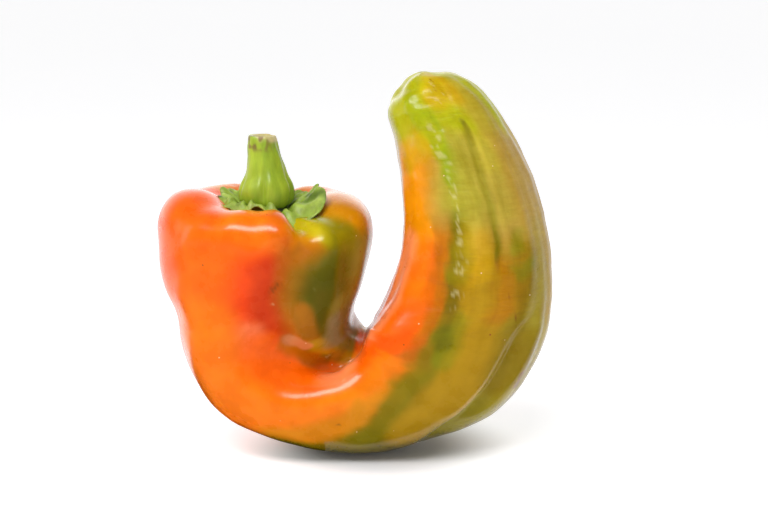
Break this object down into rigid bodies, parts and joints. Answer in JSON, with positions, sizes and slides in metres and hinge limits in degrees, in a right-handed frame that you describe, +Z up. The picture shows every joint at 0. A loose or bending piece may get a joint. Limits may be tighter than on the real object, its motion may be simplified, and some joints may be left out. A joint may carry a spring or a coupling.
{
  "type": "bell pepper",
  "caption": "Sweet pepper grown into an upright hook: a lobed head with a green calyx and cut stem, and a thick tail that rises beside it.",
  "frame": {"origin": "middle of the bounding box's bottom face, in the plane the fruit rests on", "axes": "+X from the head to the tail, +Y away from the side the picture shows, +Z up"},
  "size_m": [0.1302, 0.0652, 0.1267],
  "materials": {
    "fruit_skin": "glossy waxy pepper skin, orange ripening from green",
    "calyx_green": "satin leafy green",
    "stem_green": "satin light green stalk"
  },
  "bodies": {
    "root": {"fruit": "fruit_skin", "calyx": "calyx_green", "stem": "stem_green"}
  },
  "joints": []
}
